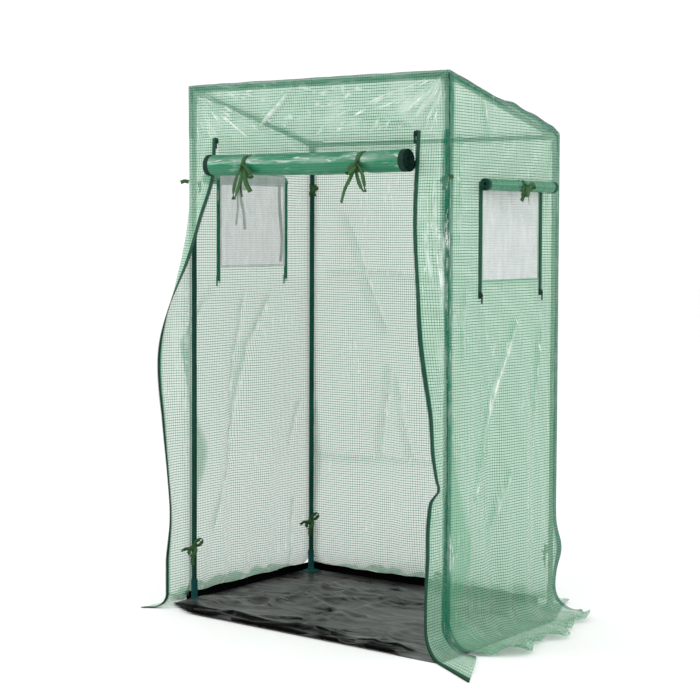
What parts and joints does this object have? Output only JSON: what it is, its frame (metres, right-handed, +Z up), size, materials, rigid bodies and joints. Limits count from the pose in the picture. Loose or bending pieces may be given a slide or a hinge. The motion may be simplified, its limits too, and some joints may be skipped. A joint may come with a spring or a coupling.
{
  "type": "tomato greenhouse",
  "caption": "Lean-to greenhouse of plugged steel tubes under a loose translucent film cover, with a roll-up zip door, roll-up side windows over insect net and a ground sheet.",
  "frame": {"origin": "on the ground under the middle of the four posts", "axes": "+X to the right seen from the door side, +Y from the door to the back, +Z up"},
  "size_m": [1.413, 1.0901, 1.6971],
  "materials": {
    "tube_coating": "green coated steel tube",
    "connector_plastic": "moulded green plastic",
    "foot_plastic": "moulded teal plastic",
    "cover_film": "translucent green woven film with a fine darker grid",
    "ground_film": "black sheet with a soft sheen",
    "insect_net": "fine whitish mesh",
    "zip_tape": "dark green woven tape",
    "ribbon": "dark green woven ribbon",
    "zip_hardware": "dark green moulded zip slider"
  },
  "bodies": {
    "house": {"back_eave_rail": "tube_coating", "back_left_connector": "connector_plastic", "back_left_foot": "foot_plastic", "back_left_post_lower": "tube_coating", "back_left_post_upper": "tube_coating", "back_panel": "cover_film", "back_right_connector": "connector_plastic", "back_right_foot": "foot_plastic", "back_right_post_lower": "tube_coating", "back_right_post_upper": "tube_coating", "door_curtain": "cover_film", "front_header": "cover_film", "front_left_connector": "connector_plastic", "front_left_foot": "foot_plastic", "front_left_post_lower": "tube_coating", "front_left_post_upper": "tube_coating", "front_right_connector": "connector_plastic", "front_right_foot": "foot_plastic", "front_right_post_lower": "tube_coating", "front_right_post_upper": "tube_coating", "front_top_rail": "tube_coating", "ground_sheet": "ground_film", "left_door_flap": "cover_film", "left_door_zip_tape": "zip_tape", "left_roof_rail": "tube_coating", "left_wall_panel": "cover_film", "left_window_curtain": "cover_film", "left_window_net": "insect_net", "left_window_tapes": "zip_tape", "post_ties": "ribbon", "right_door_flap": "cover_film", "right_door_zip_tape": "zip_tape", "right_roof_rail": "tube_coating", "right_wall_panel": "cover_film", "right_window_curtain": "cover_film", "right_window_net": "insect_net", "right_window_tapes": "zip_tape", "roof_panel": "cover_film"},
    "door": {"door_roll": "cover_film", "door_roll_left_tape": "zip_tape", "door_roll_right_tape": "zip_tape", "door_ties": "ribbon"},
    "left_door_slider_body": {"left_door_slider": "zip_hardware"},
    "right_door_slider_body": {"right_door_slider": "zip_hardware"},
    "left_door_pull_body": {"left_door_pull": "zip_hardware"},
    "right_door_pull_body": {"right_door_pull": "zip_hardware"},
    "left_window_flap": {"left_window_roll": "cover_film", "left_window_roll_tapes": "zip_tape", "left_window_tie": "ribbon"},
    "left_window_front_slider_body": {"left_window_front_slider": "zip_hardware"},
    "left_window_front_pull_body": {"left_window_front_pull": "zip_hardware"},
    "left_window_back_slider_body": {"left_window_back_slider": "zip_hardware"},
    "left_window_back_pull_body": {"left_window_back_pull": "zip_hardware"},
    "right_window_flap": {"right_window_roll": "cover_film", "right_window_roll_tapes": "zip_tape", "right_window_tie": "ribbon"},
    "right_window_front_slider_body": {"right_window_front_slider": "zip_hardware"},
    "right_window_front_pull_body": {"right_window_front_pull": "zip_hardware"},
    "right_window_back_slider_body": {"right_window_back_slider": "zip_hardware"},
    "right_window_back_pull_body": {"right_window_back_pull": "zip_hardware"}
  },
  "joints": [
    {"name": "door_unroll", "type": "slide", "parent": "house", "child": "door", "axis": [0, 0, -1], "range_m": [0, 1.29], "deforming": ["door_curtain"]},
    {"name": "left_door_zip", "type": "slide", "parent": "house", "child": "left_door_slider_body", "axis": [0, 0, -1], "range_m": [0, 1.29]},
    {"name": "left_door_pull_swing", "type": "hinge", "parent": "left_door_slider_body", "child": "left_door_pull_body", "pos_m": [-0.3852, -0.33155, 1.5157], "axis": [-1, 0, 0], "range_deg": [0, 170]},
    {"name": "right_door_zip", "type": "slide", "parent": "house", "child": "right_door_slider_body", "axis": [0, 0, -1], "range_m": [0, 1.29]},
    {"name": "right_door_pull_swing", "type": "hinge", "parent": "right_door_slider_body", "child": "right_door_pull_body", "pos_m": [0.3852, -0.33155, 1.5157], "axis": [-1, 0, 0], "range_deg": [0, 170]},
    {"name": "left_window_unroll", "type": "slide", "parent": "house", "child": "left_window_flap", "axis": [0, 0, -1], "range_m": [0, 0.285], "deforming": ["left_window_curtain"]},
    {"name": "left_window_front_zip", "type": "slide", "parent": "house", "child": "left_window_front_slider_body", "axis": [0, 0, 1], "range_m": [0, 0.28]},
    {"name": "left_window_front_pull_swing", "type": "hinge", "parent": "left_window_front_slider_body", "child": "left_window_front_pull_body", "pos_m": [-0.51165, -0.1805, 1.067], "axis": [0, 1, 0], "range_deg": [0, 170]},
    {"name": "left_window_back_zip", "type": "slide", "parent": "house", "child": "left_window_back_slider_body", "axis": [0, 0, 1], "range_m": [0, 0.28]},
    {"name": "left_window_back_pull_swing", "type": "hinge", "parent": "left_window_back_slider_body", "child": "left_window_back_pull_body", "pos_m": [-0.51165, 0.1805, 1.067], "axis": [0, 1, 0], "range_deg": [0, 170]},
    {"name": "right_window_unroll", "type": "slide", "parent": "house", "child": "right_window_flap", "axis": [0, 0, -1], "range_m": [0, 0.285], "deforming": ["right_window_curtain"]},
    {"name": "right_window_front_zip", "type": "slide", "parent": "house", "child": "right_window_front_slider_body", "axis": [0, 0, 1], "range_m": [0, 0.28]},
    {"name": "right_window_front_pull_swing", "type": "hinge", "parent": "right_window_front_slider_body", "child": "right_window_front_pull_body", "pos_m": [0.51165, -0.1525, 1.037], "axis": [0, -1, 0], "range_deg": [0, 170]},
    {"name": "right_window_back_zip", "type": "slide", "parent": "house", "child": "right_window_back_slider_body", "axis": [0, 0, 1], "range_m": [0, 0.28]},
    {"name": "right_window_back_pull_swing", "type": "hinge", "parent": "right_window_back_slider_body", "child": "right_window_back_pull_body", "pos_m": [0.51165, 0.2085, 1.037], "axis": [0, -1, 0], "range_deg": [0, 170]}
  ],
  "couplings": [
    {"joint": "left_door_zip", "follows": "door_unroll", "ratio": 1},
    {"joint": "right_door_zip", "follows": "door_unroll", "ratio": 1}
  ]
}
